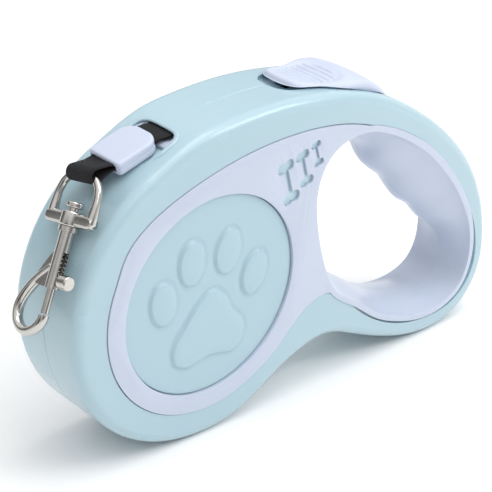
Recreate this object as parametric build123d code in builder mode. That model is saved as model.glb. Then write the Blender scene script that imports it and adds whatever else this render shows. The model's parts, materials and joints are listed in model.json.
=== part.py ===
"""Retractable tape leash with a drum housing, a finger-hole handle, a thumb brake and a swivel snap.

Millimetres, +Z up, +X towards the handle, leash exit at -X. The leash stands on its rim.
The decorated side that carries the disc faces -Y; the housing halves meet on the plane Y = 0.
"""
from build123d import *
from math import atan2, cos, degrees, pi, radians, sin
import os

# ---------------------------------------------------------------- driving dimensions
drum_x = -31.21           # drum axis from the middle of the whole object
drum_z = 45.14            # drum axis above the floor
half_width = 14.0         # half thickness of the housing at the drum
taper_start = 20.0        # the sides draw in towards the handle from here, measured from the drum axis
taper_radius = 1480.0     # radius of the long curve that draws them in
rim_radius = 45.6         # drum rim about the point (rim_cx, rim_cz) from the drum axis
rim_cx = -0.5
rim_cz = 0.5
shoulder = 3.0            # rounding between rim and side
rim_wall = 2.4
side_wall = 3.4
frame_depth = 1.5         # thickness of the side frame plates
frame_proud = 0.3         # how far they stand above the housing side
frame_gap = 0.25          # groove round them
fit = 0.05                # gap between pieces that sit in each other
ring_radius = 35.8        # outside of the frame round the disc
disc_radius = 29.8
disc_sunk = 0.6
disc_thick = 1.7
paw_raise = 0.7
sleeve_wall = 1.6         # wall of the finger hole outside its opening
hole_wall = 3.4           # the same with the housing wall round it

spool_x = -2.0            # spool axis from the drum axis
spool_z = -0.5
tooth_radius = 38.2       # over the ratchet teeth
flange_radius = 36.6
wound_radius = 35.6
hub_outer = 16.0
hub_inner = 14.6
tape_width = 10.0
tape_thick = 0.9
tooth_count = 28
tooth_angle = 60.36       # where the steep face of one tooth stands, degrees from +X
axle_radius = 3.0
arbor_radius = 4.2        # the thicker middle of the axle that holds the clock spring
run_gap = 0.05            # radial gap of running fits
ratchet_near = 5.6        # ratchet plate between these distances from the middle plane
ratchet_far = 7.6
flange_far = 6.8

exit_z = 46.6             # height of the tape above the drum axis where it leaves
post_x = 29.0             # post that turns the tape towards the exit
post_radius = 2.7
clamp_tilt = 17.5
clamp_bend = 5.0          # bend radius of the tape just before the clamp
clamp_length = 14.5
clamp_width = 12.8
clamp_half = 2.0          # half of its thickness
clamp_neck = 2.9          # length of the front part that holds the two layers of the loop

pawl_x = 4.0              # brake pawl pivot from the drum axis
pawl_z = 42.0
pawl_pin = 1.1
track_x = 27.7            # the thumb brake slides on an arc about this point
track_z = -40.1
track_radius = 91.5       # underside of the thumb brake

boss_radius = 2.5
screw_radius = 1.0
head_radius = 1.8
screw_points = [(40, -23.5), (66, 37.4), (101.2, 11.2), (-18.5, 37.3), (17.5, -36.6)]

eye_wire = 1.1            # radius of the bar that the tape loop holds
post_pin = 1.25           # swivel post
barrel_radius = 2.0
bolt_radius = 1.1
knob_z = 28.2             # thumb knob below the bar of the eye
bolt_mouth = 30.5         # lower end of the barrel
seam_bevel = 0.2          # groove where the housing halves meet


def at(x, z, y=0.0):
    """A point given from the drum axis."""
    return Vector(drum_x + x, y, drum_z + z)


def side_plane(y, x=0.0, z=0.0, turn=0.0):
    """Plane parallel to the sides, seen from -Y: local x along X, local y along Z, turned by turn degrees."""
    x_dir = (cos(radians(turn)), 0, sin(radians(turn)))
    return Plane(origin=at(x, z, y), x_dir=x_dir, z_dir=(0, -1, 0))


def half_width_at(x):
    return half_width - max(0.0, x - taper_start) ** 2 / (2 * taper_radius)


def closed_outline(points, grow=0.0):
    """Face inside the smooth closed curve through the points, its edge moved outwards by grow."""
    area = sum(a[0] * b[1] - b[0] * a[1] for a, b in zip(points, points[1:] + points[:1]))
    with BuildLine() as line:
        curve = Spline(*points, periodic=True)
    if grow:
        side = Vector(0, 0, 1 if area > 0 else -1)
        steps = [i / 80 for i in range(80)]
        with BuildLine() as line:
            Spline(*[curve @ t + (curve % t).cross(side) * grow for t in steps], periodic=True)
    make_face(line.line.edges())


def round_points(center, radius, start, end, count):
    """Points along a round stretch, anticlockwise from start to end degrees."""
    angles = [radians(start + (end - start) * i / (count - 1)) for i in range(count)]
    return [(center[0] + radius * cos(a), center[1] + radius * sin(a)) for a in angles]


body_points = [
    (36.5, -31.1), (46.5, -29.4), (60, -34.0), (78, -41.5), (98, -45.1), (112.5, -40.6), (119.8, -30),
    (119.6, -14), (111, 6.5), (96, 23.2), (77, 36.8), (58, 46.0), (40, 49.9), (20, 51.1), (4, 50.0),
    (-6, 48.2), (-14, 44.9),
]
frame_points = [
    (27, -24.6), (33.5, -18.3), (40, -14.4), (45, -13.8), (50.5, -16.2), (58, -22.8), (70, -31.8),
    (83, -37.2), (96, -39.0), (108, -36.6), (114.4, -29.5), (115, -19.5), (109.5, -5.5), (98.6, 8.8),
    (84.2, 21.6), (68.1, 31.7), (53.5, 37.7), (40, 40.5), (25, 41.1), (8, 39.3), (-9, 34.8), (-22, 29.0),
    (-29.9, 21.8),
]
# finger hole: the edge on the side face, and the narrower line on the middle plane with its finger waves
hole_edge = [
    (47.5, -12.6), (43.6, -5.5), (40.4, 3.5), (38.2, 13), (38.3, 24), (42.3, 31), (50, 34.6), (58, 34.6),
    (65.5, 32.3), (71.5, 29.6), (76.5, 26.8), (81, 24), (85.5, 20.7), (90, 16.8), (94.5, 12.4), (99, 7.3),
    (103, 2.2), (106.5, -3.3), (109.5, -9.0), (111.8, -17), (111.8, -25.5), (108.5, -32.5), (101, -36.4),
    (91, -36.9), (80.5, -34.2), (69.5, -29.2), (58.5, -21.2),
]
hole_middle = [
    (51.0, -11.0), (47.2, -4.5), (44.0, 4.0), (41.6, 13), (42.0, 22.5), (46.0, 28.2), (52.0, 30.4),
    (59.0, 28.8), (65.2, 25.4), (68.3, 21.6), (70.0, 17.2), (73.2, 13.8), (78.4, 9.8), (82.6, 4.6),
    (86.6, 0.2), (92.2, -3.6), (97.0, -8.6), (101.4, -12.2), (106.2, -15.4), (109.8, -21), (110.4, -27.2),
    (107.5, -32.0), (101.5, -34.4), (92, -33.2), (81.5, -30.2), (71, -25.3), (60.5, -18.2),
]


def body_outline(grow=0.0):
    closed_outline(round_points((rim_cx, rim_cz), rim_radius, 117, 310, 10) + body_points, grow)


def frame_outline(grow=0.0):
    closed_outline(round_points((0, 0), ring_radius, 160, 300, 8) + frame_points, grow)


def slab_plan(outer, inner):
    """Plan view of the layer between two depths below the housing side, outer above it when negative."""
    x_end = 140.0
    top = half_width - outer
    low = half_width - inner
    drop = (x_end - taper_start) ** 2 / (2 * taper_radius)
    x_mid = (taper_start + x_end) / 2
    mid_drop = (x_mid - taper_start) ** 2 / (2 * taper_radius)
    x_left = -60.0
    with BuildLine() as line:
        Line((x_left, -top), (taper_start, -top))
        ThreePointArc((taper_start, -top), (x_mid, mid_drop - top), (x_end, drop - top))
        Line((x_end, drop - top), (x_end, drop - low))
        ThreePointArc((x_end, drop - low), (x_mid, mid_drop - low), (taper_start, -low))
        Line((taper_start, -low), (x_left, -low))
        Line((x_left, -low), (x_left, -top))
    make_face(line.line.edges())


def side_layer(outer, inner):
    """The layer as a solid, tall enough to cut or meet any outline."""
    with BuildPart() as layer:
        with BuildSketch(Plane(origin=at(0, -70), x_dir=(1, 0, 0), z_dir=(0, 0, 1))):
            slab_plan(outer, inner)
        extrude(amount=140)
    return layer.part


def hole_core():
    """What the finger hole takes away on the -Y side: it swells inwards to the middle plane."""
    slope = (half_width - half_width_at(112)) / (112 - 38)
    with BuildPart() as core:
        for t in (-0.15, 0.12, 0.35, 0.65, 1.0):
            share = 1 - (1 - max(t, 0)) ** 2
            lean = slope * (1 - t)
            x_dir = Vector(1, lean, 0).normalized()
            facing = x_dir.cross(Vector(0, 0, 1))
            plane = Plane(origin=at(38, 0, -half_width * (1 - t)), x_dir=x_dir, z_dir=facing)
            with BuildSketch(plane):
                closed_outline([
                    (a + (c - a) * share - 38, b + (d - b) * share)
                    for (a, b), (c, d) in zip(hole_edge, hole_middle)
                ])
        loft()
    return core.part


def bone(x, z, length, gap=0.0):
    """Bone outline standing at (x, z): a shaft with a pair of knobs at each end."""
    knob = 0.15 * length + 0.15
    with Locations(Location((x, z), 17)):
        Rectangle(0.8 * knob + 2 * gap, length)
        with GridLocations(1.5 * knob, length, 2, 2):
            Circle(knob + gap)


bones = [(26.15, 27.2, 10.6), (31.95, 29.95, 8.7), (36.6, 33.2, 6.0)]
toes = [(-16.8, 2.6, 10), (-7.3, 12.1, 4), (5.5, 12.1, -4), (15.7, 2.4, -10)]
pad_points = [
    (0.7, 1.8), (5.4, -1.6), (8.2, -6.8), (12.4, -11.6), (12.9, -17.0), (8.6, -20.6), (0.7, -18.9),
    (-7.4, -20.4), (-12.4, -17.6), (-12.8, -12.2), (-9.2, -7.2), (-5.2, -2.0),
]

# the snap hangs from eye_point along hang_dir; bar_dir is the axis of the bar in the tape loop
eye_point = at(-33.4, 40.6, -0.1)
hang_dir = Vector(-0.489, -0.211, -0.847).normalized()
bar_dir = (Vector(0, 1, 0) - hang_dir * hang_dir.Y).normalized()
snap_plane = Plane(origin=eye_point, x_dir=bar_dir, z_dir=hang_dir)
snap_face = Plane(origin=eye_point, x_dir=bar_dir, z_dir=bar_dir.cross(hang_dir))


def chain_plane(distance, x=0.0):
    """Plane across the snap, this far below the bar of its eye."""
    return Plane(origin=snap_plane.from_local_coords((x, 0, distance)), x_dir=bar_dir, z_dir=hang_dir)


def knob_plane(distance, x):
    """Plane whose normal points away from the hook, for the thumb knob."""
    return Plane(origin=snap_plane.from_local_coords((x, 0, distance)), x_dir=hang_dir, z_dir=bar_dir * -1)


tilt = radians(clamp_tilt)
post_z = exit_z - tape_thick / 2 - fit - post_radius
clamp_x = -11.8 - clamp_bend * sin(tilt)
clamp_z = exit_z - clamp_bend * (1 - cos(tilt))
clamp_dir = Vector(-cos(tilt), 0, -sin(tilt))
clamp_plane = Plane(origin=at(clamp_x, clamp_z), x_dir=clamp_dir, z_dir=(-sin(tilt), 0, cos(tilt)))


def along_clamp(distance, height):
    """Side-view point this far towards the front of the clamp and above its middle."""
    return (
        clamp_x - distance * cos(tilt) - height * sin(tilt),
        clamp_z - distance * sin(tilt) + height * cos(tilt),
    )


os.makedirs("parts", exist_ok=True)

# ---------------------------------------------------------------- housing halves
with BuildPart() as cavity:
    with BuildSketch(side_plane(0)):
        body_outline(-rim_wall)
    extrude(amount=half_width)
    with BuildSketch(side_plane(0)):
        closed_outline(hole_edge, hole_wall)
    extrude(amount=half_width, mode=Mode.SUBTRACT)
    add(side_layer(-5, side_wall), mode=Mode.SUBTRACT)

with BuildPart() as frame_recess:
    with BuildSketch(side_plane(0)):
        frame_outline(frame_gap)
    extrude(amount=half_width + 2)
    add(side_layer(-5, frame_depth + fit), mode=Mode.INTERSECT)

with BuildPart() as button_recess:
    with BuildSketch(side_plane(7.5)):
        body_outline(2)
    extrude(amount=15)
    with BuildSketch(side_plane(8)):
        body_outline(-1.2)
    extrude(amount=16, mode=Mode.SUBTRACT)
    with BuildSketch(Plane(origin=at(0, 30), x_dir=(1, 0, 0), z_dir=(0, 0, 1))):
        closed_outline([
            (28.4, 0), (29.2, 4.0), (32.2, 6.6), (38, 7.2), (44, 6.6), (46, 3.5),
            (46, -3.5), (44, -6.6), (38, -7.2), (32.2, -6.6), (29.2, -4.0),
        ])
    extrude(amount=30, mode=Mode.INTERSECT)

with BuildPart() as mouth:
    with Locations(at(-10.95, 47.15)):
        Box(6.7, 15.2, 5.7)
    fillet(mouth.edges().filter_by(Axis.Z).group_by(Axis.X)[-1], 3.0)

with BuildPart() as half:
    with BuildSketch(side_plane(0)):
        body_outline()
    extrude(amount=half_width)
    add(side_layer(-5, 0), mode=Mode.SUBTRACT)
    rim_edges = half.edges().filter_by(
        lambda edge: edge.geom_type != GeomType.LINE
        and all(abs(-(edge @ t).Y - half_width_at((edge @ t).X - drum_x)) < 0.02 for t in (0, 0.3, 0.7, 1))
    )
    fillet(rim_edges, shoulder)
    seam_edges = half.edges().filter_by(lambda edge: all(abs((edge @ t).Y) < 0.01 for t in (0, 0.3, 0.7)))
    chamfer(seam_edges, seam_bevel)
    add(cavity.part, mode=Mode.SUBTRACT)
    for x, z in screw_points:
        with BuildSketch(side_plane(0, x, z)):
            Circle(boss_radius)
        extrude(amount=half_width_at(x) - 2)
        with BuildSketch(side_plane(0, x, z)):
            Circle(screw_radius + fit)
        extrude(amount=6.2, mode=Mode.SUBTRACT)
    add(frame_recess.part, mode=Mode.SUBTRACT)
    with BuildSketch(side_plane(-half_width + disc_sunk + disc_thick + fit)):
        Circle(disc_radius + 0.3)
    extrude(amount=5, mode=Mode.SUBTRACT)
    with BuildSketch(side_plane(-8.1, spool_x, spool_z)):
        Circle(axle_radius + 2.5)
    extrude(amount=3)
    with BuildSketch(side_plane(-8, spool_x, spool_z)):
        Circle(axle_radius + fit)
    extrude(amount=2.55, mode=Mode.SUBTRACT)
    with BuildSketch(side_plane(-8.2, post_x, post_z)):
        Circle(2.4)
    extrude(amount=3)
    with BuildSketch(side_plane(-8.2, post_x, post_z)):
        Circle(0.95)
    extrude(amount=3.45, mode=Mode.SUBTRACT)
    with BuildSketch(side_plane(0)):
        closed_outline(hole_edge, sleeve_wall + fit)
    extrude(amount=half_width + 1, mode=Mode.SUBTRACT)
    add(button_recess.part, mode=Mode.SUBTRACT)
    with Locations(at(39.2, 48)):
        Box(11, 4.7, 8, mode=Mode.SUBTRACT)
    add(mouth.part, mode=Mode.SUBTRACT)
    with Locations(at(1, exit_z)):
        Box(18, 11, 1.3, mode=Mode.SUBTRACT)
    with BuildSketch(clamp_plane.offset(-clamp_half - 0.4)):
        with Locations((clamp_length / 2, 0)):
            Rectangle(clamp_length + 3, clamp_width + 1.2)
    extrude(amount=9, mode=Mode.SUBTRACT)

with BuildPart() as left_shell:
    add(half.part)
    with BuildSketch(side_plane(-10, pawl_x, pawl_z)):
        Circle(pawl_pin + fit)
    extrude(amount=2.7, mode=Mode.SUBTRACT)
left_shell.part.label = "left_shell"
export_step(left_shell.part, "parts/left_shell.step")

with BuildPart() as right_shell:
    add(half.part.mirror(Plane.XZ))
    for x, z in screw_points:
        with BuildSketch(side_plane(half_width + 1, x, z)):
            Circle(screw_radius + fit)
        extrude(amount=half_width + 1, mode=Mode.SUBTRACT)
        with BuildSketch(side_plane(half_width + 1, x, z)):
            Circle(head_radius + 0.2)
        extrude(amount=half_width + 1 - half_width_at(x) + 2.2, mode=Mode.SUBTRACT)
right_shell.part.label = "right_shell"
export_step(right_shell.part, "parts/right_shell.step")

for number, (x, z) in enumerate(screw_points, 1):
    head_floor = half_width_at(x) - 2.15
    with BuildPart() as housing_screw:
        with BuildSketch(side_plane(head_floor, x, z)):
            Circle(screw_radius)
        extrude(amount=head_floor + 6)
        with BuildSketch(side_plane(head_floor + 1.3, x, z)):
            Circle(head_radius)
        extrude(amount=1.3)
        with BuildSketch(side_plane(head_floor + 1.3, x, z, turn=20 * number)):
            Rectangle(2.4, 0.5)
            Rectangle(0.5, 2.4)
        extrude(amount=0.7, mode=Mode.SUBTRACT)
    housing_screw.part.label = f"housing_screw_{number}"
    export_step(housing_screw.part, f"parts/housing_screw_{number}.step")

# ---------------------------------------------------------------- side frames, bones and discs
with BuildPart() as left_side_frame:
    with BuildSketch(side_plane(0)):
        frame_outline()
    extrude(amount=half_width + 2)
    add(side_layer(-frame_proud, frame_depth), mode=Mode.INTERSECT)
    with BuildSketch(side_plane(0)):
        closed_outline(hole_edge, sleeve_wall)
    extrude(amount=half_width + 1)
    add(side_layer(-5, -frame_proud), mode=Mode.SUBTRACT)
    add(hole_core(), mode=Mode.SUBTRACT)
    with BuildSketch(side_plane(-half_width + 3)):
        Circle(disc_radius + 0.3)
        for x, z, length in bones:
            bone(x, z, length, fit)
    extrude(amount=5, mode=Mode.SUBTRACT)
left_side_frame.part.label = "left_side_frame"
export_step(left_side_frame.part, "parts/left_side_frame.step")

with BuildPart() as right_side_frame:
    add(left_side_frame.part.mirror(Plane.XZ))
right_side_frame.part.label = "right_side_frame"
export_step(right_side_frame.part, "parts/right_side_frame.step")

with BuildPart() as left_bone_inlays:
    with BuildSketch(side_plane(-half_width + 3)):
        for x, z, length in bones:
            bone(x, z, length)
    extrude(amount=5)
    add(side_layer(0.6, frame_depth), mode=Mode.INTERSECT)
left_bone_inlays.part.label = "left_bone_inlays"
export_step(left_bone_inlays.part, "parts/left_bone_inlays.step")

with BuildPart() as right_bone_inlays:
    add(left_bone_inlays.part.mirror(Plane.XZ))
right_bone_inlays.part.label = "right_bone_inlays"
export_step(right_bone_inlays.part, "parts/right_bone_inlays.step")

disc_face = -half_width + disc_sunk
with BuildPart() as left_paw_disc:
    with BuildSketch(side_plane(disc_face + disc_thick)):
        Circle(disc_radius)
    extrude(amount=disc_thick)
    with BuildSketch(side_plane(disc_face)):
        closed_outline(pad_points)
        for x, z, lean in toes:
            with Locations(Location((x, z), lean)):
                Ellipse(4.4, 6.6)
    extrude(amount=paw_raise)
    pad_top = disc_face - paw_raise
    pad_edges = left_paw_disc.edges().filter_by(lambda edge: abs(edge.center().Y - pad_top) < 0.01)
    fillet(pad_edges, 0.5)
left_paw_disc.part.label = "left_paw_disc"
export_step(left_paw_disc.part, "parts/left_paw_disc.step")

with BuildPart() as right_paw_disc:
    add(left_paw_disc.part.mirror(Plane.XZ))
right_paw_disc.part.label = "right_paw_disc"
export_step(right_paw_disc.part, "parts/right_paw_disc.step")

# ---------------------------------------------------------------- spool with ratchet, tape and clock spring
with BuildPart() as spool:
    with BuildSketch(side_plane(-ratchet_near, spool_x, spool_z)):
        Circle(flange_radius)
        with PolarLocations(0, tooth_count, start_angle=tooth_angle):
            Polygon((35.4, 0), (tooth_radius, 0), (36.32, -4.5), (35.2, -4), align=None)
    extrude(amount=ratchet_far - ratchet_near)
    with BuildSketch(side_plane(flange_far, spool_x, spool_z)):
        Circle(hub_outer)
    extrude(amount=flange_far + ratchet_near)
    with BuildSketch(side_plane(flange_far, spool_x, spool_z)):
        Circle(hub_inner)
    extrude(amount=flange_far + ratchet_near, mode=Mode.SUBTRACT)
    with BuildSketch(side_plane(0, spool_x, spool_z)):
        Circle(axle_radius + run_gap)
        with PolarLocations(26, 6):
            Circle(6)
    extrude(amount=10, mode=Mode.SUBTRACT)
spool.part.label = "spool"
export_step(spool.part, "parts/spool.step")

with BuildPart() as spool_flange:
    with BuildSketch(side_plane(flange_far, spool_x, spool_z)):
        Circle(flange_radius)
        Circle(hub_outer + fit, mode=Mode.SUBTRACT)
        with PolarLocations(26, 6):
            Circle(6, mode=Mode.SUBTRACT)
    extrude(amount=flange_far - ratchet_near)
spool_flange.part.label = "spool_flange"
export_step(spool_flange.part, "parts/spool_flange.step")

with BuildPart() as wound_tape:
    with BuildSketch(side_plane(tape_width / 2, spool_x, spool_z)):
        Circle(wound_radius)
        Circle(hub_outer + fit, mode=Mode.SUBTRACT)
    extrude(amount=tape_width)
wound_tape.part.label = "wound_tape"
export_step(wound_tape.part, "parts/wound_tape.step")

with BuildPart() as spring_cover:
    with BuildSketch(side_plane(flange_far, spool_x, spool_z)):
        Circle(hub_inner - fit)
        Circle(axle_radius + run_gap, mode=Mode.SUBTRACT)
    extrude(amount=1.2)
spring_cover.part.label = "spring_cover"
export_step(spring_cover.part, "parts/spring_cover.step")

spring_turns = 7.5
spring_start = 4.8
spring_end = 14.1
spring_half = 0.2         # half of the strip thickness


def spiral(shift):
    """Points of the clock spring spiral, moved outwards by shift."""
    steps = int(spring_turns * 12)
    radii = [spring_start + (spring_end - spring_start) * i / steps + shift for i in range(steps + 1)]
    return [(radius * cos(pi * i / 6), radius * sin(pi * i / 6)) for i, radius in enumerate(radii)]


with BuildPart() as clock_spring:
    with BuildSketch(side_plane(4, spool_x, spool_z)):
        with BuildLine() as strip:
            inner_side = Spline(*spiral(-spring_half))
            outer_side = Spline(*spiral(spring_half))
            Line(inner_side @ 0, outer_side @ 0)
            Line(inner_side @ 1, outer_side @ 1)
        make_face(strip.line.edges())
    extrude(amount=8)
clock_spring.part.label = "clock_spring"
export_step(clock_spring.part, "parts/clock_spring.step")

with BuildPart() as spool_axle:
    with BuildSketch(side_plane(10.5, spool_x, spool_z)):
        Circle(axle_radius)
    extrude(amount=21)
    with BuildSketch(side_plane(4.6, spool_x, spool_z)):
        Circle(arbor_radius)
    extrude(amount=9.2)
spool_axle.part.label = "spool_axle"
export_step(spool_axle.part, "parts/spool_axle.step")

# ---------------------------------------------------------------- tape path
with BuildPart() as tape_post:
    with BuildSketch(side_plane(5.4, post_x, post_z)):
        Circle(post_radius)
    extrude(amount=10.8)
    with BuildSketch(side_plane(11.6, post_x, post_z)):
        Circle(0.9)
    extrude(amount=23.2)
tape_post.part.label = "tape_post"
export_step(tape_post.part, "parts/tape_post.step")

with BuildPart() as tape_guide:
    with Locations(at(-10.175, 47)):
        Box(5.05, 15.1, 5.3)
    fillet(tape_guide.edges().filter_by(Axis.Z).group_by(Axis.X)[-1], 2.95)
    with Locations(at(-11.2, 48)):
        Box(5, 12.6, 5, mode=Mode.SUBTRACT)
    with Locations(at(-10, exit_z)):
        Box(8, 11, 1.3, mode=Mode.SUBTRACT)
    with BuildSketch(side_plane(8)):
        body_outline(-0.5)
    extrude(amount=16, mode=Mode.INTERSECT)
tape_guide.part.label = "tape_guide"
export_step(tape_guide.part, "parts/tape_guide.step")

wrap = post_radius + fit + tape_thick / 2     # radius of the tape's middle round the post
with BuildPart() as tape_run:
    with BuildLine(side_plane(0)) as run_path:
        Line((34.1, 1.1), (post_x + wrap * cos(radians(2.5)), post_z + wrap * sin(radians(2.5))))
        CenterArc((post_x, post_z), wrap, 2.5, 87)
    with BuildSketch(Plane(origin=run_path.line @ 0, x_dir=(0, 1, 0), z_dir=run_path.line % 0)):
        Rectangle(tape_width, tape_thick)
    sweep(path=run_path.line)
tape_run.part.label = "tape_run"
export_step(tape_run.part, "parts/tape_run.step")

with BuildPart() as tape_lead:
    with BuildLine(side_plane(0)) as lead_path:
        Line((post_x - 0.6, exit_z), (-11.8, exit_z))
        CenterArc((-11.8, exit_z - clamp_bend), clamp_bend, 90, clamp_tilt)
        Line((clamp_x, clamp_z), along_clamp(clamp_length - clamp_neck, 0))
    with BuildSketch(Plane(origin=lead_path.line @ 0, x_dir=(0, 1, 0), z_dir=lead_path.line % 0)):
        Rectangle(tape_width, tape_thick)
    sweep(path=lead_path.line)
    with BuildSketch(clamp_plane.offset(-1)):
        with Locations((4.5, 0), (9.5, 0)):
            Circle(0.95)
    extrude(amount=2, mode=Mode.SUBTRACT)
tape_lead.part.label = "tape_lead"
export_step(tape_lead.part, "parts/tape_lead.step")

with BuildPart() as clamp_block:
    with BuildSketch(clamp_plane) as clamp_plan:
        with Locations((clamp_length / 2, 0)):
            Rectangle(clamp_length, clamp_width)
        fillet(clamp_plan.vertices().group_by(Axis.X)[0], 4.5)
        fillet(clamp_plan.vertices().group_by(Axis.X)[-1], 1.2)
    extrude(amount=clamp_half)
    fillet(clamp_block.faces().sort_by(Axis(clamp_plane.origin, clamp_plane.z_dir))[-1].edges(), 0.8)
    with BuildSketch(clamp_plane):
        with Locations((clamp_length / 2, 0)):
            Rectangle(clamp_length + 2, tape_width + 0.3)
    extrude(amount=tape_thick / 2 + fit, mode=Mode.SUBTRACT)
    with BuildSketch(clamp_plane):
        with Locations((clamp_length, 0)):
            Rectangle(2 * clamp_neck, tape_width + 0.3)
    extrude(amount=tape_thick + fit, mode=Mode.SUBTRACT)

with BuildPart() as clamp_upper:
    add(clamp_block.part)
    with BuildSketch(clamp_plane):
        with Locations((4.5, 0), (9.5, 0)):
            Circle(0.9 + fit)
    extrude(amount=1.2, mode=Mode.SUBTRACT)
clamp_upper.part.label = "clamp_upper"
export_step(clamp_upper.part, "parts/clamp_upper.step")

with BuildPart() as clamp_lower:
    add(clamp_block.part.mirror(clamp_plane))
    with BuildSketch(clamp_plane):
        with Locations((4.5, 0), (9.5, 0)):
            Circle(0.9 + fit)
    extrude(amount=-clamp_half - 1, mode=Mode.SUBTRACT)
    with BuildSketch(clamp_plane.offset(-clamp_half)):
        with Locations((4.5, 0), (9.5, 0)):
            Circle(1.6)
    extrude(amount=0.8, mode=Mode.SUBTRACT)
clamp_lower.part.label = "clamp_lower"
export_step(clamp_lower.part, "parts/clamp_lower.step")

with BuildPart() as clamp_rivets:
    with BuildSketch(clamp_plane.offset(-clamp_half + 0.1)):
        with Locations((4.5, 0), (9.5, 0)):
            Circle(1.55)
    extrude(amount=0.65)
    with BuildSketch(clamp_plane.offset(-clamp_half + 0.1)):
        with Locations((4.5, 0), (9.5, 0)):
            Circle(0.9)
    extrude(amount=clamp_half + 1.0)
clamp_rivets.part.label = "clamp_rivets"
export_step(clamp_rivets.part, "parts/clamp_rivets.step")

loop_slack = 1.1          # the bar lies across the loop at an angle, so the loop is this much longer each way
loop_inner = 1.45
loop_angle = degrees(atan2(hang_dir.Z, hang_dir.X))
loop_mid = Vector(eye_point.X - drum_x, eye_point.Z - drum_z)
with BuildPart() as tape_loop:
    with BuildSketch(side_plane(tape_width / 2)):
        with Locations(loop_mid):
            SlotCenterToCenter(2 * loop_slack, 2 * (loop_inner + tape_thick), rotation=loop_angle)
        neck = [along_clamp(clamp_length - clamp_neck + 0.3, side) for side in (-tape_thick, tape_thick)]
        mouth = [along_clamp(clamp_length + 0.2, side) for side in (tape_thick, -tape_thick)]
        Polygon(neck[0], neck[1], mouth[0], mouth[1], align=None)
        Polygon(
            mouth[0], mouth[1],
            loop_mid + Vector(0, -loop_inner - tape_thick / 2),
            loop_mid + Vector(0, loop_inner + tape_thick / 2),
            align=None,
        )
        with Locations(loop_mid):
            SlotCenterToCenter(2 * loop_slack, 2 * loop_inner, rotation=loop_angle, mode=Mode.SUBTRACT)
    extrude(amount=tape_width)
tape_loop.part.label = "tape_loop"
export_step(tape_loop.part, "parts/tape_loop.step")

# ---------------------------------------------------------------- thumb brake
cap_side = [
    (32.0, 4.5), (34.2, 7.2), (38, 8.3), (42, 9.0), (46.5, 10.6), (51, 11.4), (60, 11.3), (66, 10.2), (69.8, 6.8),
]
cap_plan = [(31.4, 0)] + cap_side + [(70.9, 0)] + [(x, -y) for x, y in reversed(cap_side)]
with BuildPart() as brake_button:
    with BuildSketch(side_plane(12)):
        with BuildLine() as cap_top:
            Spline(
                (31.2, 51.3), (33.0, 52.6), (36.0, 52.3), (40.0, 51.6), (44.0, 51.1), (48.0, 51.1),
                (52.0, 51.1), (56.0, 50.4), (60.0, 48.8), (63.5, 46.4), (67.0, 43.5), (71.2, 40.6),
            )
            Line((71.2, 40.6), (68.0, 36.0))
            Line((68.0, 36.0), (31.2, 46.0))
            Line((31.2, 46.0), (31.2, 51.3))
        make_face(cap_top.line.edges())
        with Locations((track_x, track_z)):
            Circle(track_radius, mode=Mode.SUBTRACT)
    extrude(amount=24)
    with BuildSketch(Plane(origin=at(0, 30), x_dir=(1, 0, 0), z_dir=(0, 0, 1))):
        closed_outline(cap_plan)
    extrude(amount=40, mode=Mode.INTERSECT)
    with BuildSketch(side_plane(5.2)):
        with Locations(*[(38.0 + 2.2 * i, 51.75 - 0.22 * i) for i in range(5)]):
            Circle(0.55)
    extrude(amount=10.4)
    with BuildSketch(side_plane(2)):
        with BuildLine() as stem_line:
            Polyline((38, 43.3), (44, 43.3), (44, 50.2), (38, 51.0), (38, 43.3))
        make_face(stem_line.line.edges())
    extrude(amount=4)
    with BuildSketch(side_plane(2)):
        with Locations((41, 44.85)):
            Rectangle(6, 3.1)
    extrude(amount=9.5)
    with BuildSketch(side_plane(-5.7)):
        with BuildLine() as cam_line:
            Polyline(
                (11, 46.4), (11, 44.4), (12.5, 44.15), (14, 43.85), (17.7, 43.3), (19.5, 43.3), (21.5, 44.95),
                (38.5, 44.95), (38.5, 46.4), (11, 46.4),
            )
        make_face(cam_line.line.edges())
    extrude(amount=1.8)
brake_button.part.label = "brake_button"
export_step(brake_button.part, "parts/brake_button.step")

with BuildPart() as brake_pawl:
    with BuildSketch(side_plane(-5.7)):
        with Locations((pawl_x, pawl_z)):
            Circle(2.2)
        with BuildLine() as pawl_line:
            Polyline(
                (17.0, 33.2), (18.15, 35.97), (17.5, 38.2), (15.6, 39.6), (14.9, 42.6), (13.1, 42.6),
                (12.2, 41.6), (4.4, 44.15), (3.0, 39.95), (12.6, 37.3), (14.97, 34.05), (17.0, 33.2),
            )
        make_face(pawl_line.line.edges())
        with Locations((14, 42.6)):
            Circle(0.9)
        with Locations((pawl_x, pawl_z)):
            Circle(pawl_pin + run_gap, mode=Mode.SUBTRACT)
    extrude(amount=1.8)
brake_pawl.part.label = "brake_pawl"
export_step(brake_pawl.part, "parts/brake_pawl.step")

with BuildPart() as pawl_pivot:
    with BuildSketch(side_plane(-4.9, pawl_x, pawl_z)):
        Circle(pawl_pin)
    extrude(amount=7.7)
    with BuildSketch(side_plane(-4.8, pawl_x, pawl_z)):
        Circle(1.8)
    extrude(amount=0.6)
pawl_pivot.part.label = "pawl_pivot"
export_step(pawl_pivot.part, "parts/pawl_pivot.step")

with BuildPart() as pawl_spring:
    with BuildLine() as coil:
        Helix(pitch=0.55, height=2.1, radius=1.65, center=at(pawl_x, pawl_z, -7.95), direction=(0, -1, 0))
    with BuildSketch(Plane(origin=coil.line @ 0, z_dir=coil.line % 0)):
        Circle(0.22)
    sweep(path=coil.line)
pawl_spring.part.label = "pawl_spring"
export_step(pawl_spring.part, "parts/pawl_spring.step")

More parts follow.
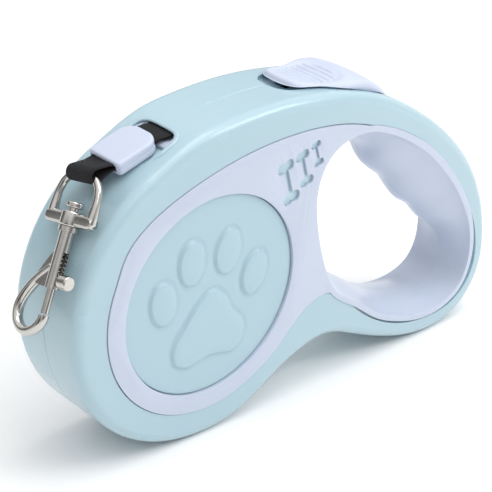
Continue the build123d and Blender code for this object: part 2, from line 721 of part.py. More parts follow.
# ---------------------------------------------------------------- swivel snap
with BuildPart() as swivel_eye:
    with BuildSketch(snap_face):
        Polygon((-8.1, -0.9), (8.1, -0.9), (8.6, 13.9), (-8.6, 13.9), align=None)
        Polygon((-5.8, -2), (5.8, -2), (6.2, 9.7), (-6.2, 9.7), align=None, mode=Mode.SUBTRACT)
    extrude(amount=1.0, both=True)
    fillet(swivel_eye.edges().filter_by(Axis(eye_point, snap_face.z_dir)), 0.9)
    with BuildSketch(knob_plane(0, 7)):
        Circle(eye_wire)
    extrude(amount=14)
    with BuildSketch(chain_plane(9.7)):
        Circle(3.0)
    extrude(amount=4.2)
    with BuildSketch(chain_plane(9)):
        Circle(post_pin + run_gap)
    extrude(amount=6, mode=Mode.SUBTRACT)
swivel_eye.part.label = "swivel_eye"
export_step(swivel_eye.part, "parts/swivel_eye.step")

with BuildPart() as swivel_post:
    with BuildSketch(chain_plane(7.6)):
        Circle(2.4)
    extrude(amount=1.6)
    fillet(swivel_post.edges(), 0.5)
    with BuildSketch(chain_plane(8)):
        Circle(post_pin)
    extrude(amount=8.2)
swivel_post.part.label = "swivel_post"
export_step(swivel_post.part, "parts/swivel_post.step")

hook_points = [
    (1.5, 25.0), (5.2, 28.4), (8.5, 32.8), (9.9, 37.4), (8.4, 41.2), (4.9, 42.7), (1.8, 41.4), (0.15, 39.0),
    (0, 37.6),
]
with BuildPart() as snap_body:
    with BuildSketch(chain_plane(14.2)):
        Circle(2.7)
    extrude(amount=1.3)
    with BuildSketch(chain_plane(15.4)):
        Circle(barrel_radius)
    extrude(amount=bolt_mouth - 15.4)
    with BuildSketch(snap_face):
        Polygon((1.0, 20.5), (2.4, 22.0), (5.8, 28.0), (6.2, 29.6), (4.8, 30.2), (1.2, 30.5), align=None)
    extrude(amount=1.2, both=True)
    with BuildLine(snap_face) as hook_line:
        Spline(*hook_points)
    with BuildSketch(Plane(origin=hook_line.line @ 0, x_dir=snap_plane.y_dir, z_dir=hook_line.line % 0)):
        Ellipse(1.6, 1.3)
    sweep(path=hook_line.line)
    with BuildSketch(chain_plane(17)):
        Circle(bolt_radius + run_gap)
    extrude(amount=bolt_mouth - 17, mode=Mode.SUBTRACT)
    with BuildSketch(chain_plane(14)):
        Circle(post_pin + 0.02)
    extrude(amount=2.25, mode=Mode.SUBTRACT)
    with BuildSketch(knob_plane(knob_z - 2.95, 0)):
        Rectangle(8.7, 2.0)
    extrude(amount=4, mode=Mode.SUBTRACT)
snap_body.part.label = "snap_body"
export_step(snap_body.part, "parts/snap_body.step")

with BuildPart() as snap_bolt:
    with BuildSketch(chain_plane(26.4)):
        Circle(bolt_radius)
    extrude(amount=10.75)
    with BuildSketch(knob_plane(knob_z, -0.2)):
        Circle(0.65)
    extrude(amount=3, mode=Mode.SUBTRACT)
snap_bolt.part.label = "snap_bolt"
export_step(snap_bolt.part, "parts/snap_bolt.step")

with BuildPart() as thumb_knob:
    with BuildSketch(knob_plane(knob_z, -0.25)):
        Circle(0.6)
    extrude(amount=3)
    with BuildSketch(knob_plane(knob_z, -1.35)):
        Circle(0.9)
    extrude(amount=4.65)
    with BuildSketch(knob_plane(knob_z, -2.6)):
        Circle(1.95)
    extrude(amount=3.4)
    fillet(thumb_knob.edges().filter_by(lambda edge: abs(edge.length - 2 * pi * 1.95) < 0.01), 0.4)
thumb_knob.part.label = "thumb_knob"
export_step(thumb_knob.part, "parts/thumb_knob.step")

with BuildPart() as snap_spring:
    with BuildLine() as snap_coil:
        Helix(pitch=1.1, height=8.8, radius=0.78, center=chain_plane(17.3).origin, direction=hang_dir)
    with BuildSketch(Plane(origin=snap_coil.line @ 0, z_dir=snap_coil.line % 0)):
        Circle(0.2)
    sweep(path=snap_coil.line)
snap_spring.part.label = "snap_spring"
export_step(snap_spring.part, "parts/snap_spring.step")
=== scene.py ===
"""Looks of the retractable tape leash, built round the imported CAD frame. Metres, same frame as the CAD."""
import json
from math import cos, hypot, pi, radians, sin, sqrt

import bmesh
import bpy
from mathutils import Matrix, Vector


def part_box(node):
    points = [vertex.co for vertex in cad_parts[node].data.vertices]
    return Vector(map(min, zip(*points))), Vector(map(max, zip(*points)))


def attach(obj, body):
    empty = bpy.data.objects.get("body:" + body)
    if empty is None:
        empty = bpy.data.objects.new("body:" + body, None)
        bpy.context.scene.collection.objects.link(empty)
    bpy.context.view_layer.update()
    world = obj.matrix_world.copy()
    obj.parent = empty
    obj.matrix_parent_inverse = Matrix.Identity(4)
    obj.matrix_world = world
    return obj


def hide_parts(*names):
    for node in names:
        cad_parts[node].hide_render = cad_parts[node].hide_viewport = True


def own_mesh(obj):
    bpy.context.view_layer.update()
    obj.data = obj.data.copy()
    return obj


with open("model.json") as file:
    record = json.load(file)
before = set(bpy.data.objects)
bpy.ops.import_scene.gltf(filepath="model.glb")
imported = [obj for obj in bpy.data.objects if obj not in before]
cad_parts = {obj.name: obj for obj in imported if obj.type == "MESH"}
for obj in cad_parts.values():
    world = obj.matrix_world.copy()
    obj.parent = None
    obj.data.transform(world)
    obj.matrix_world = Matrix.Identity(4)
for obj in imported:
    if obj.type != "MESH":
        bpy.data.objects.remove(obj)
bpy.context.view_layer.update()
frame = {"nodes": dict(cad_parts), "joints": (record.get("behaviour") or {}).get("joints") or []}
nodes = frame["nodes"]
MM = 0.001

# places that the CAD gives
disc_low, disc_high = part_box("left_paw_disc")
drum_x = (disc_low.x + disc_high.x) / 2
drum_z = (disc_low.z + disc_high.z) / 2
shell_side = -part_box("left_shell")[0].y


def at(x, z, y=0.0):
    """A point given from the drum axis in millimetres."""
    return Vector((drum_x + x * MM, y * MM, drum_z + z * MM))


# ---------------------------------------------------------------- node materials
class Tree:
    """A short way to write node trees."""

    def __init__(self, name):
        self.material = bpy.data.materials.new(name)
        self.material.use_nodes = True
        self.nodes = self.material.node_tree.nodes
        self.links = self.material.node_tree.links
        self.shader = self.nodes["Principled BSDF"]
        self.place = self.add("ShaderNodeTexCoord").outputs["Object"]

    def add(self, kind, **settings):
        node = self.nodes.new(kind)
        for key, value in settings.items():
            setattr(node, key, value)
        return node

    def noise(self, scale, detail, rough=0.5):
        node = self.add("ShaderNodeTexNoise")
        node.inputs["Scale"].default_value = scale
        node.inputs["Detail"].default_value = detail
        node.inputs["Roughness"].default_value = rough
        self.links.new(self.place, node.inputs["Vector"])
        return node.outputs["Fac"]

    def ramp(self, source, low, high):
        """Maps 0..1 to low..high."""
        node = self.add("ShaderNodeMapRange")
        node.inputs["To Min"].default_value = low
        node.inputs["To Max"].default_value = high
        self.links.new(source, node.inputs["Value"])
        return node.outputs["Result"]

    def mix(self, factor, first, second):
        node = self.add("ShaderNodeMix", data_type="RGBA")
        node.inputs[6].default_value = (*first, 1)
        node.inputs[7].default_value = (*second, 1)
        self.links.new(factor, node.inputs[0])
        return node.outputs[2]

    def math(self, operation, first, second=0.0):
        node = self.add("ShaderNodeMath", operation=operation)
        for socket, value in zip(node.inputs, (first, second)):
            if isinstance(value, (int, float)):
                socket.default_value = value
            else:
                self.links.new(value, socket)
        return node.outputs["Value"]

    def bump(self, height, strength, distance):
        node = self.add("ShaderNodeBump")
        node.inputs["Strength"].default_value = strength
        node.inputs["Distance"].default_value = distance
        self.links.new(height, node.inputs["Height"])
        self.links.new(node.outputs["Normal"], self.shader.inputs["Normal"])

    def set(self, **values):
        for key, value in values.items():
            socket = self.shader.inputs[key.replace("_", " ")]
            if isinstance(value, (int, float, tuple)):
                socket.default_value = value
            else:
                self.links.new(value, socket)
        return self.material


gloss_drift = 0.03  # how far roughness wanders to each side


def moulded_plastic(name, light, dark, roughness, grain, coat=0.0):
    """Injection-moulded plastic: slight colour drift, fine texture and a gloss that varies a little."""
    tree = Tree(name)
    drift = tree.noise(28, 2)
    fine = tree.noise(2600, 2)
    wipes = tree.noise(60, 2, 0.4)
    tree.bump(fine, grain, 0.04 * MM)
    return tree.set(
        Base_Color=tree.mix(drift, dark, light),
        Roughness=tree.ramp(wipes, roughness - gloss_drift, roughness + gloss_drift),
        Coat_Weight=coat,
        Coat_Roughness=0.12,
        Subsurface_Weight=0.06,
        Subsurface_Radius=(0.004, 0.004, 0.005),
        Subsurface_Scale=0.4,
        IOR=1.5,
    )


warp_pitch = 0.55 * MM
weft_pitch = 0.9 * MM


def woven_tape(name, mapped=True):
    """Black nylon tape: a fine twill of crossing threads that catches light on its ribs, with a painted
    highlight on the threads and painted shade between them.

    A mapped tape carries its own UVs in metres. The wound tape has none and takes its place from the object."""
    # painted shade: the colour between the threads; painted highlight: the colour on them
    painted_shade_between_threads = (0.0025, 0.0025, 0.003)
    painted_highlight_on_threads = (0.016, 0.016, 0.019)
    tree = Tree(name)
    split = tree.add("ShaderNodeSeparateXYZ")
    place = tree.add("ShaderNodeUVMap", uv_map="UVMap").outputs["UV"] if mapped else tree.place
    tree.links.new(place, split.inputs["Vector"])
    across, along = [split.outputs[axis] for axis in ("XY" if mapped else "YZ")]
    warp = tree.math("SINE", tree.math("MULTIPLY", across, 2 * pi / warp_pitch))
    diagonal = tree.math("ADD", across, along)
    weft = tree.math("SINE", tree.math("MULTIPLY", diagonal, 2 * pi / weft_pitch))
    threads = tree.math("MAXIMUM", warp, weft)
    lint = tree.noise(900, 4, 0.7)
    height = tree.math("ADD", threads, tree.math("MULTIPLY", lint, 0.6))
    tree.bump(height, 0.8, 0.12 * MM)
    return tree.set(
        # painted light: the base colour is lighter on the threads and darker between them
        Base_Color=tree.mix(tree.ramp(threads, 0.0, 0.9), painted_shade_between_threads, painted_highlight_on_threads),
        Roughness=tree.ramp(lint, 0.5, 0.75),
        Specular_IOR_Level=0.22,
        Sheen_Weight=0.05,
        Sheen_Roughness=0.4,
        Sheen_Tint=(0.7, 0.75, 0.9, 1.0),
    )


def plated_metal(name, color, roughness, bump=0.12):
    """Nickel plate over a die casting: bright, softly rippled, with small dull patches."""
    tree = Tree(name)
    ripple = tree.noise(240, 3, 0.5)
    haze = tree.noise(700, 5, 0.7)
    tree.bump(tree.math("ADD", ripple, tree.math("MULTIPLY", haze, 0.3)), bump, 0.3 * MM)
    return tree.set(
        Base_Color=tree.mix(haze, tuple(0.86 * c for c in color), color),
        Metallic=1.0,
        Roughness=tree.ramp(haze, roughness, roughness + 0.14),
    )


shell_blue = moulded_plastic("shell_blue", (0.415, 0.575, 0.645), (0.395, 0.555, 0.625), 0.26, 0.10, 0.35)
disc_blue = moulded_plastic("disc_blue", (0.415, 0.575, 0.645), (0.395, 0.555, 0.625), 0.36, 0.16, 0.15)
bone_blue = moulded_plastic("bone_blue", (0.47, 0.635, 0.705), (0.45, 0.615, 0.685), 0.36, 0.10, 0.15)
lavender = moulded_plastic("lavender", (0.535, 0.595, 0.715), (0.515, 0.575, 0.695), 0.34, 0.14, 0.2)
button_lavender = moulded_plastic("button_lavender", (0.56, 0.615, 0.75), (0.54, 0.595, 0.73), 0.4, 0.22)
inner_white = moulded_plastic("inner_white", (0.60, 0.60, 0.58), (0.55, 0.55, 0.53), 0.45, 0.2)
black_tape = woven_tape("black_tape")
wound_black_tape = woven_tape("wound_black_tape", mapped=False)
nickel = plated_metal("nickel", (0.62, 0.60, 0.57), 0.07)
steel = plated_metal("steel", (0.55, 0.55, 0.56), 0.3, 0.05)

finishes = {
    shell_blue: ["left_shell", "right_shell"],
    bone_blue: ["left_bone_inlays", "right_bone_inlays"],
    disc_blue: ["left_paw_disc", "right_paw_disc"],
    lavender: ["left_side_frame", "right_side_frame", "clamp_upper", "clamp_lower", "tape_guide"],
    button_lavender: ["brake_button"],
    inner_white: ["spool", "spool_flange", "spring_cover", "tape_post", "brake_pawl"],
    black_tape: ["tape_lead", "tape_loop"],
    wound_black_tape: ["wound_tape", "tape_run"],
    nickel: ["swivel_eye", "swivel_post", "snap_body", "snap_bolt", "thumb_knob"],
    steel: ["spool_axle", "pawl_pivot", "pawl_spring", "clock_spring", "snap_spring", "clamp_rivets"]
    + [f"housing_screw_{i}" for i in range(1, 6)],
}
for material, names in finishes.items():
    for name in names:
        mesh = nodes[name].data
        mesh.materials.clear()
        mesh.materials.append(material)


# ---------------------------------------------------------------- mesh helpers
def new_object(name, data):
    result = bpy.data.objects.new(name, data)
    bpy.context.scene.collection.objects.link(result)
    return result


def make_piece(name, rows, material, body, stands_for=()):
    """Smooth closed mesh from rings of points, capped at the first and the last ring."""
    count = len(rows[0])
    faces = []
    for i in range(len(rows) - 1):
        for j in range(count):
            a, b = i * count + j, i * count + (j + 1) % count
            faces.append((a, b, b + count, a + count))
    faces.append(tuple(reversed(range(count))))
    faces.append(tuple(range((len(rows) - 1) * count, len(rows) * count)))
    mesh = bpy.data.meshes.new(name)
    mesh.from_pydata([tuple(point) for row in rows for point in row], [], faces)
    shape = bmesh.new()
    shape.from_mesh(mesh)
    bmesh.ops.recalc_face_normals(shape, faces=shape.faces)
    shape.to_mesh(mesh)
    shape.free()
    mesh.shade_smooth()
    piece = new_object(name, mesh)
    mesh.materials.append(material)
    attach(piece, body)
    if stands_for:
        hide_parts(*stands_for)
    return piece


def smooth_path(points, steps=8, closed=False):
    """Catmull-Rom curve through the points."""
    count = len(points)
    result = []
    for i in range(count if closed else count - 1):
        near = (i - 1, i, i + 1, i + 2)
        p = [points[k % count if closed else min(max(k, 0), count - 1)] for k in near]
        for s in range(steps):
            t = s / steps
            result.append(0.5 * (
                2 * p[1] + (p[2] - p[0]) * t + (2 * p[0] - 5 * p[1] + 4 * p[2] - p[3]) * t ** 2
                + (3 * p[1] - p[0] - 3 * p[2] + p[3]) * t ** 3
            ))
    if not closed:
        result.append(points[-1])
    return result


def heading(points, i):
    """The way from the point before to the point after."""
    return points[min(i + 1, len(points) - 1)] - points[max(i - 1, 0)]


def section(center, side, lift, half_a, half_b, power, count=28):
    """Superellipse ring round center: half_a along side and half_b along lift, in metres."""
    ring = []
    for k in range(count):
        angle = 2 * pi * k / count
        c, s = cos(angle), sin(angle)
        x = abs(c) ** (2 / power) * (1 if c >= 0 else -1)
        y = abs(s) ** (2 / power) * (1 if s >= 0 else -1)
        ring.append(center + side * half_a * x + lift * half_b * y)
    return ring


def sweep_rows(centres, lift, sizes, power):
    """Rings along a flat path; lift is the direction across its plane, sizes are (in plane, across) in mm."""
    rows = []
    for i, center in enumerate(centres):
        side = heading(centres, i).cross(lift).normalized()
        rows.append(section(center, side, lift, sizes[i][0] * MM, sizes[i][1] * MM, power))
    return rows


def lathe_rows(profile, center, axis):
    """Rings of revolution: profile holds (distance along axis, radius) in mm."""
    count = 36
    side = axis.orthogonal().normalized()
    other = axis.cross(side)
    return [
        [center + axis * along * MM + (side * cos(a) + other * sin(a)) * radius * MM
         for a in (2 * pi * k / count for k in range(count))]
        for along, radius in profile
    ]


def rounded(profile, amount):
    """Rounds the corners of a lathe profile with five points each, over amount mm of the sides."""
    result = [profile[0]]
    for before, corner, after in zip(profile, profile[1:], profile[2:]):
        corner, before, after = Vector(corner), Vector(before), Vector(after)
        into, out = before - corner, after - corner
        reach_in, reach_out = min(amount, into.length * 0.45), min(amount, out.length * 0.45)
        start, end = corner + into.normalized() * reach_in, corner + out.normalized() * reach_out
        for t in (0, 0.25, 0.5, 0.75, 1):
            result.append(tuple(start * (1 - t) ** 2 + corner * 2 * t * (1 - t) + end * t ** 2))
    result.append(profile[-1])
    return result


def ribbon(name, centres, across, width, thick, material, body, stands_for):
    """Flat strap with rounded edges: across is the width direction at each centre. UVs are metres."""
    squareness = 6
    count = 40
    rows = []
    for i, center in enumerate(centres):
        lift = heading(centres, i).cross(across[i]).normalized()
        rows.append(section(center, across[i], lift, width / 2 * MM, thick / 2 * MM, squareness, count))
    strap = make_piece(name, rows, material, body, stands_for)
    layer = strap.data.uv_layers.new(name="UVMap")
    travel = [0.0]
    for first, second in zip(centres, centres[1:]):
        travel.append(travel[-1] + (second - first).length)
    for loop in strap.data.loops:
        i = loop.vertex_index // count
        point = strap.data.vertices[loop.vertex_index].co
        layer.data[loop.index].uv = ((point - centres[i]).dot(across[i]), travel[i])


# ---------------------------------------------------------------- places from the joints
joints = {joint["name"]: joint for joint in frame["joints"]}
eye_point = Vector(joints["eye_swing"]["pos_m"])
bar_dir = Vector(joints["eye_swing"]["axis"]).normalized()
hang_dir = Vector(joints["snap_swivel"]["axis"]).normalized()
snap_in = hang_dir.cross(bar_dir)
track = Vector(joints["brake_slide"]["pos_m"])


def snap_at(x, z):
    """A point of the hanging snap in mm: x along the eye's bar, z down the snap."""
    return eye_point + (bar_dir * x + hang_dir * z) * MM


# ---------------------------------------------------------------- swivel eye
# the arch: wire that thickens down the legs
eye_leg = [(7.3, 12.6), (7.45, 9.0), (7.2, 5.4), (6.0, 2.3), (3.4, 0.4)]
eye_points = [(-x, z) for x, z in eye_leg] + [(0, -0.1)] + eye_leg[::-1]
thick_from, thick_over = 6, 6


def eye_size(point):
    """Half sizes of the wire, in the plane of the arch and across it."""
    drop = (point - eye_point).dot(hang_dir) / MM
    k = min(max((drop - thick_from) / thick_over, 0), 1)
    return 1.05 + 0.35 * k, 0.98 + 0.5 * k


eye_path = smooth_path([snap_at(x, z) for x, z in eye_points], 8)
eye_rows = sweep_rows(eye_path, snap_in, [eye_size(point) for point in eye_path], 2.3)
make_piece("eye_arch", eye_rows, nickel, "swivel_eye", ["swivel_eye"])

# the foot: a bar across the ends of the legs, a little narrower at its own ends
foot_z = 12.15
foot_half_length = 8.3
foot_half_width = 1.75
foot_half_depth = 1.55
foot_taper = 0.8


def foot_size(point):
    from_end = foot_half_length - abs((point - eye_point).dot(bar_dir) / MM)
    return foot_half_width * min(1, 0.72 + 0.28 * from_end / foot_taper), foot_half_depth


foot_places = (-foot_half_length, -7.9, -5, 0, 5, 7.9, foot_half_length)
foot_path = smooth_path([snap_at(x, foot_z) for x in foot_places], 5)
foot_rows = sweep_rows(foot_path, snap_in, [foot_size(point) for point in foot_path], 3.6)
make_piece("eye_foot", foot_rows, nickel, "swivel_eye")

# the boss: the round bearing of the swivel post
boss_profile = rounded([(10.1, 0.0), (10.1, 2.9), (14.1, 3.0), (14.1, 0.0)], 0.6)
make_piece("eye_boss", lathe_rows(boss_profile, eye_point, hang_dir), nickel, "swivel_eye")


# ---------------------------------------------------------------- soft edges on plain CAD shapes
def softened(name, node, width, body, material):
    """A copy of a CAD node with its corners rounded by width mm, shown in its place."""
    corner_angle = radians(35)
    flat_angle = radians(1.0)
    shape = bmesh.new()
    shape.from_mesh(nodes[node].data)
    bmesh.ops.remove_doubles(shape, verts=shape.verts, dist=1e-6)
    bmesh.ops.dissolve_limit(shape, angle_limit=flat_angle, verts=shape.verts, edges=shape.edges)
    mesh = bpy.data.meshes.new(name)
    shape.to_mesh(mesh)
    shape.free()
    mesh.shade_smooth()
    piece = new_object(name, mesh)
    mesh.materials.append(material)
    bevel = piece.modifiers.new("corners", "BEVEL")
    bevel.width = width * MM
    bevel.segments = 3
    bevel.limit_method = "ANGLE"
    bevel.angle_limit = corner_angle
    bevel.harden_normals = True
    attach(piece, body)
    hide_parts(node)


frame_bevel = 0.35
clamp_bevel = 0.12
softened("frame_left", "left_side_frame", frame_bevel, "housing", lavender)
softened("frame_right", "right_side_frame", frame_bevel, "housing", lavender)
softened("clamp_top_half", "clamp_upper", clamp_bevel, "leash_end", button_lavender)
softened("clamp_bottom_half", "clamp_lower", clamp_bevel, "leash_end", button_lavender)


# ---------------------------------------------------------------- paw discs
def smooth_step(low, high, value):
    """0 at low and 1 at high, level at both ends; low may be the larger."""
    t = min(max((value - low) / (high - low), 0), 1)
    return t * t * (3 - 2 * t)


def edge_distance(x, z, outline):
    """Distance inside a closed outline, negative outside it."""
    inside = False
    nearest = 1e9
    for (x0, z0), (x1, z1) in zip(outline, outline[1:] + outline[:1]):
        if (z0 > z) != (z1 > z) and x < (x1 - x0) * (z - z0) / (z1 - z0) + x0:
            inside = not inside
        along_x, along_z = x1 - x0, z1 - z0
        t = min(max(((x - x0) * along_x + (z - z0) * along_z) / (along_x ** 2 + along_z ** 2), 0), 1)
        nearest = min(nearest, hypot(x - x0 - t * along_x, z - z0 - t * along_z))
    return nearest if inside else -nearest


toes = [(-16.8, 2.6, 10), (-7.3, 12.1, 4), (5.5, 12.1, -4), (15.7, 2.4, -10)]  # centre and lean in degrees
toe_half_width = 4.6
toe_half_height = 6.8
toe_sides = 28
pad_points = [
    (0.7, 1.8), (5.4, -1.6), (8.2, -6.8), (12.4, -11.6), (12.9, -17.0), (8.6, -20.6), (0.7, -18.9),
    (-7.4, -20.4), (-12.4, -17.6), (-12.8, -12.2), (-9.2, -7.2), (-5.2, -2.0),
]
pad_outlines = [[tuple(p) for p in smooth_path([Vector(p) for p in pad_points], 4, closed=True)]]
for toe_x, toe_z, lean in toes:
    c, s = cos(radians(lean)), sin(radians(lean))
    pad_outlines.append([
        (toe_x + toe_half_width * cos(a) * c - toe_half_height * sin(a) * s,
         toe_z + toe_half_width * cos(a) * s + toe_half_height * sin(a) * c)
        for a in (2 * pi * k / toe_sides for k in range(toe_sides))
    ])

pad_margin = 1.6  # the moat round a pad ends inside this
pad_boxes = []
for outline in pad_outlines:
    across, upward = zip(*outline)
    pad_boxes.append((min(across) - pad_margin, max(across) + pad_margin,
                      min(upward) - pad_margin, max(upward) + pad_margin))
pad_rise = 0.68
pad_crown = 0.2
moat_depth = 0.22


def paw_height(x, z):
    """Height of the disc's face: pads with a soft edge and a slight crown, each in a shallow moat."""
    near = [
        edge_distance(x, z, outline) for outline, (x0, x1, z0, z1) in zip(pad_outlines, pad_boxes)
        if x0 < x < x1 and z0 < z < z1
    ]
    if not near:
        return 0.0
    depth = max(near)
    moat = moat_depth * smooth_step(-1.5, -0.2, depth) * smooth_step(0.35, -0.2, depth)
    return pad_rise * smooth_step(-0.3, 0.55, depth) + pad_crown * smooth_step(0.3, 2.8, depth) - moat


disc_radius = 29.95
disc_face = 13.4  # from the middle plane
disc_rings = 112
disc_turns = 240
circle = [(cos(2 * pi * k / disc_turns), sin(2 * pi * k / disc_turns)) for k in range(disc_turns)]
disc_grid = [
    [(radius * c, radius * s) for c, s in circle]
    for radius in (disc_radius * (k / disc_rings) for k in range(1, disc_rings - 1))
]
rim = [(disc_radius - 0.36, 0.0), (disc_radius - 0.12, -0.1), (disc_radius, -0.38), (disc_radius, -1.68)]
heights = [[paw_height(x, z) for x, z in ring] for ring in disc_grid]
for side, facing in (("left", -1), ("right", 1)):
    rows = [
        [at(x, z, facing * (disc_face + height)) for (x, z), height in zip(ring, level)]
        for ring, level in zip(disc_grid, heights)
    ]
    for radius, drop in rim:
        rows.append([at(radius * c, radius * s, facing * (disc_face + drop)) for c, s in circle])
    make_piece(f"paw_disc_{side}", rows, disc_blue, "housing", [f"{side}_paw_disc"])


# ---------------------------------------------------------------- thumb brake cap
def between(table, x):
    """Smooth curve through the (x, value) pairs."""
    x = min(max(x, table[0][0]), table[-1][0])
    for i in range(len(table) - 1):
        if x <= table[i + 1][0]:
            near = (i - 1, i, i + 1, i + 2)
            before, first, second, after = (table[min(max(k, 0), len(table) - 1)] for k in near)
            t = (x - first[0]) / (second[0] - first[0])
            slope_a = (second[1] - before[1]) / (second[0] - before[0])
            slope_b = (after[1] - first[1]) / (after[0] - first[0])
            span = second[0] - first[0]
            return (first[1] * (2 * t ** 3 - 3 * t ** 2 + 1) + slope_a * span * (t ** 3 - 2 * t ** 2 + t)
                    + second[1] * (3 * t ** 2 - 2 * t ** 3) + slope_b * span * (t ** 3 - t ** 2))
    return table[-1][1]


# the plan's half widths along the button, and the height of its middle line
cap_side = [
    (32.0, 4.5), (34.2, 7.2), (38, 8.3), (42, 9.0), (46.5, 10.6), (51, 11.4), (60, 11.3), (66, 10.2),
    (69.8, 6.8),
]
cap_plan = [(31.4, 0)] + cap_side + [(70.9, 0)] + [(x, -y) for x, y in reversed(cap_side)]
cap_tops = [
    (31.2, 51.4), (33, 52.3), (36, 52.0), (40, 51.3), (44, 50.8), (48, 50.8), (52, 50.8), (56, 50.2),
    (60, 48.7), (63.5, 46.4), (67, 43.5), (71.2, 40.6),
]
track_radius = 91.5
track_x = (track.x - drum_x) / MM
track_z = (track.z - drum_z) / MM
cap_edge = [tuple(p) for p in smooth_path([Vector(p) for p in cap_plan], 10, closed=True)]
cap_mid = 50.0
cap_crown = 0.006
cap_round = 1.5
cap_gap = 0.05
cap_least = 0.12
rest_x = 43.2
rest_half_length = 9.4
rest_half_width = 6.6     # at x 36, and it widens to the rear
rest_widening = 0.14
rest_depth = 0.7
lip_rise = 0.25
rib_pitch = 2.2
rib_start = 38.0
rib_rise = 0.6


def cap_base(x):
    """The cap's underside follows the arc that the button slides on."""
    return track_z + sqrt(track_radius ** 2 - (x - track_x) ** 2) + cap_gap


def cap_height(x, y, inset):
    """Top of the cap: long profile, dished thumb rest with ribs, raised lip round it and a rounded edge."""
    rest_width = rest_half_width + rest_widening * (x - 36)
    rest = ((abs(x - rest_x) / rest_half_length) ** 3 + (abs(y) / rest_width) ** 3) ** (1 / 3)
    dish = smooth_step(1.12, 0.72, rest) if rest < 1.12 else 0.0
    lip = smooth_step(0.25, 0.0, abs(rest - 1.14)) * lip_rise
    wave = 0.5 + 0.5 * cos(2 * pi * (x - rib_start) / rib_pitch)
    ribs = rib_rise * wave ** 1.5 * smooth_step(0.95, 0.8, rest) if rest < 0.95 else 0.0
    top = between(cap_tops, x) + 0.15 - rest_depth * dish + lip + ribs - cap_crown * y * y
    if inset < cap_round:
        top -= cap_round - sqrt(cap_round ** 2 - (cap_round - inset) ** 2)
    return max(top, cap_base(x) + cap_least)


# rings from the middle outwards, closer together on the rounded edge
even_rings = [k / 54 for k in range(1, 47)]
edge_rings = [0.87 + 0.13 * (1 - (1 - k / 14) ** 2) for k in range(1, 15)]
well_inside = 9.0
cap_rows = []
for share in even_rings + edge_rings:
    row = []
    for x_edge, y_edge in cap_edge:
        x = cap_mid + (x_edge - cap_mid) * share
        y = y_edge * share
        inset = max(edge_distance(x, y, cap_edge), 0.0) if share > 0.8 else well_inside
        row.append(at(x, cap_height(x, y, inset), y))
    cap_rows.append(row)
cap_rows.append([at(x, cap_base(x), y) for x, y in cap_edge])
make_piece("button_cap", cap_rows, button_lavender, "brake_button", ["brake_button"])


# ---------------------------------------------------------------- tape
tape_width = 10.0
tape_thick = 0.9
exit_z = 46.6
lead_start = 28.4         # inner end of the lead
bend_start = -11.8        # where the tape turns down, outside the mouth
bend_radius = 5.0
clamp_tilt = radians(17.5)
clamp_hold = 11.6         # length of tape inside the clamp
clamp_x = bend_start - bend_radius * sin(clamp_tilt)
clamp_z = exit_z - bend_radius * (1 - cos(clamp_tilt))
across_y = Vector((0, 1, 0))


def along_clamp(distance, height):
    """A point in the clamp: distance out along the tape, height above its middle."""
    return at(clamp_x - distance * cos(clamp_tilt) - height * sin(clamp_tilt),
              clamp_z - distance * sin(clamp_tilt) + height * cos(clamp_tilt))


lead = [at(lead_start - (lead_start - bend_start) * k / 24, exit_z) for k in range(25)]
lead += [
    at(bend_start - bend_radius * sin(a), exit_z - bend_radius * (1 - cos(a)))
    for a in (clamp_tilt * k / 4 for k in range(1, 5))
]
lead += [along_clamp(clamp_hold * k / 6, 0) for k in range(1, 7)]
lead_across = [across_y] * len(lead)
ribbon("tape_out", lead, lead_across, tape_width, tape_thick, black_tape, "leash_end", ["tape_lead"])

# the loop leaves the clamp in two layers and passes round the bar of the eye, turning to lie along the bar
loop_from = 11.8
loop_straight = 2.2
loop_layer = tape_thick / 2 + 0.02
loop_radius = 1.9
loop_width = 9.6
loop_thick = 0.8
turn_start = 62           # degrees round the bar
turn_sweep = 236
turn_steps = 10
loop_start, loop_end = along_clamp(loop_from, loop_layer), along_clamp(loop_from, -loop_layer)
out_dir = (along_clamp(1, 0) - along_clamp(0, 0)).normalized()
loop = [loop_start, loop_start + out_dir * loop_straight * MM]
turn_from = loop[-1] - eye_point
turn_from -= bar_dir * turn_from.dot(bar_dir)
turn_from.normalize()
over = bar_dir.cross(turn_from)
if over.z < 0:
    over = -over
for k in range(turn_steps + 1):
    a = radians(turn_start + turn_sweep * k / turn_steps)
    loop.append(eye_point + (turn_from * cos(a) + over * sin(a)) * loop_radius * MM)
loop += [loop_end + out_dir * loop_straight * MM, loop_end]
loop = smooth_path(loop, 5)
loop_across = []
for point in loop:
    reach = (point - loop_start).length / MM
    share = smooth_step(1.0, 5.0, reach)
    loop_across.append(across_y.lerp(bar_dir, share).normalized())
ribbon("tape_eye_loop", loop, loop_across, loop_width, loop_thick, black_tape, "leash_end", ["tape_loop"])


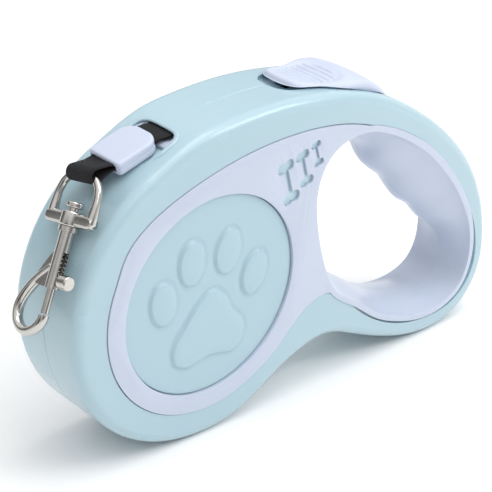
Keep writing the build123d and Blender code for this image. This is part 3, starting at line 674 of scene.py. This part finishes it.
# ---------------------------------------------------------------- rim of the mouth where the tape comes out
mouth_back = -17.2
mouth_side = [
    (mouth_back, 7.9), (-15.4, 7.95), (-13.2, 7.95), (-11.4, 7.9), (-9.8, 7.4), (-8.6, 6.2), (-8.0, 4.2),
]
mouth_line = [(x, -y) for x, y in mouth_side] + [(-7.9, 0)] + mouth_side[::-1]
body_line = [(-30, 34.3), (-21, 40.75), (-14, 44.9), (-6, 48.2), (4, 50.0), (20, 51.1)]
rim_half_width = 0.75
rim_half_height = 0.42
rim_out = 0.35
rim_lift = 0.02
mouth_edge = smooth_path([Vector(point) for point in mouth_line], 6)
rim_rows = []
for i, point in enumerate(mouth_edge):
    ahead = heading(mouth_edge, i).normalized()
    slope = between(body_line, point.x + 0.5) - between(body_line, point.x - 0.5)
    normal = Vector((-slope, 0, 1)).normalized()
    outward = Vector((ahead.y, -ahead.x, 0))
    outward = (outward - normal * outward.dot(normal)).normalized()
    fade = smooth_step(mouth_back, -14.5, point.x)
    center = at(point.x, between(body_line, point.x) + rim_lift, point.y) + outward * rim_out * MM
    half_width = rim_half_width * (0.4 + 0.6 * fade) * MM
    half_height = rim_half_height * (0.3 + 0.7 * fade) * MM
    rim_rows.append(section(center, outward, normal, half_width, half_height, 2.2, 16))
make_piece("mouth_rim", rim_rows, shell_blue, "housing")


# ---------------------------------------------------------------- the snap's spring
# a copy of the CAD spring that moves with the snap; the real spring shortens as the bolt is drawn back
spring = new_object("bolt_spring", nodes["snap_spring"].data.copy())
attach(spring, "snap")
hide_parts("snap_spring")
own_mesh(spring)

# ---------------------------------------------------------------- camera
# worked out from the round disc and the level base of the picture
picture_width = 492
focal_pixels = 1700
sensor_width = 36
back = Vector((-0.6072, -0.6473, 0.4607)).normalized()
up = back.cross(Vector((0.7469, -0.6627, 0.0533)).normalized()).normalized()
right = up.cross(back)
camera_place = at(-271.6, 226.1, -shell_side / MM - 302.0)
camera = new_object("camera", bpy.data.cameras.new("camera"))
camera.matrix_world = Matrix.Translation(camera_place) @ Matrix((right, up, back)).transposed().to_4x4()
camera.data.sensor_width = sensor_width
camera.data.lens = sensor_width * focal_pixels / picture_width
camera.data.clip_start = 0.01
camera.data.shift_y = 0.005
bpy.context.scene.camera = camera

# ---------------------------------------------------------------- floor and light
world = bpy.data.worlds.new("studio")
world.use_nodes = True
sky = world.node_tree
direction = sky.nodes.new("ShaderNodeSeparateXYZ")
sky.links.new(sky.nodes.new("ShaderNodeTexCoord").outputs["Generated"], direction.inputs["Vector"])


def sky_math(operation, first, second=0.0, third=0.0):
    node = sky.nodes.new("ShaderNodeMath")
    node.operation = operation
    for socket, value in zip(node.inputs, (first, second, third)):
        if isinstance(value, float):
            socket.default_value = value
        else:
            sky.links.new(value, socket)
    return node.outputs["Value"]


# a white room whose walls are broken by a few darker stretches near the horizon, which the metal mirrors
wall_light = 0.5
wall_slant = 0.22         # brighter towards +x
stripe_count = 5.0
stripe_turn = 0.6
stripe_depth = 0.27
around = sky_math("ARCTAN2", direction.outputs["Y"], direction.outputs["X"])
stripes = sky_math("SINE", sky_math("MULTIPLY_ADD", around, stripe_count, stripe_turn))
slanted = sky_math("MULTIPLY_ADD", direction.outputs["X"], wall_slant, wall_light)
wall = sky_math("MULTIPLY_ADD", stripes, stripe_depth, slanted)
height = sky.nodes.new("ShaderNodeMapRange")
height.interpolation_type = "SMOOTHSTEP"
height.inputs["From Min"].default_value = 0.3
height.inputs["From Max"].default_value = 0.75
sky.links.new(direction.outputs["Z"], height.inputs["Value"])
ceiling = sky_math("MULTIPLY", height.outputs["Result"], sky_math("SUBTRACT", 1.0, wall))
sky.links.new(sky_math("ADD", wall, ceiling), sky.nodes["Background"].inputs["Strength"])
sky.nodes["Background"].inputs["Color"].default_value = (1.0, 1.0, 1.0, 1)
bpy.context.scene.world = world


light_target = Vector((0, 0, 0.045))


def soft_light(name, place, size, power):
    """A rectangular light at place, turned to the object; power in watts."""
    data = bpy.data.lights.new(name, "AREA")
    data.shape = "RECTANGLE"
    data.size, data.size_y = size
    data.energy = power
    light = new_object(name, data)
    light.location = place
    light.rotation_euler = (Vector(place) - light_target).to_track_quat("Z", "Y").to_euler()


soft_light("key_top", (0.05, -0.1, 0.8), (0.5, 0.5), 2.2)
soft_light("shoulder_glint", (0.02, -0.42, 0.58), (0.7, 0.06), 0.45)
soft_light("fill_front", (0.45, -0.45, 0.55), (0.3, 0.3), 1.3)

floor_mesh = bpy.data.meshes.new("floor")
floor_half = 3
floor_corners = [(-floor_half, -floor_half), (floor_half, -floor_half), (floor_half, floor_half),
                 (-floor_half, floor_half)]
floor_mesh.from_pydata([(x, y, 0) for x, y in floor_corners], [], [(0, 1, 2, 3)])
floor = new_object("floor", floor_mesh)
floor_tree = Tree("floor_white")
floor_color = floor_tree.mix(floor_tree.noise(6, 3), (0.93, 0.93, 0.93), (0.95, 0.95, 0.95))
floor_mesh.materials.append(floor_tree.set(Base_Color=floor_color, Roughness=0.9))

bpy.context.scene.view_settings.view_transform = "Standard"
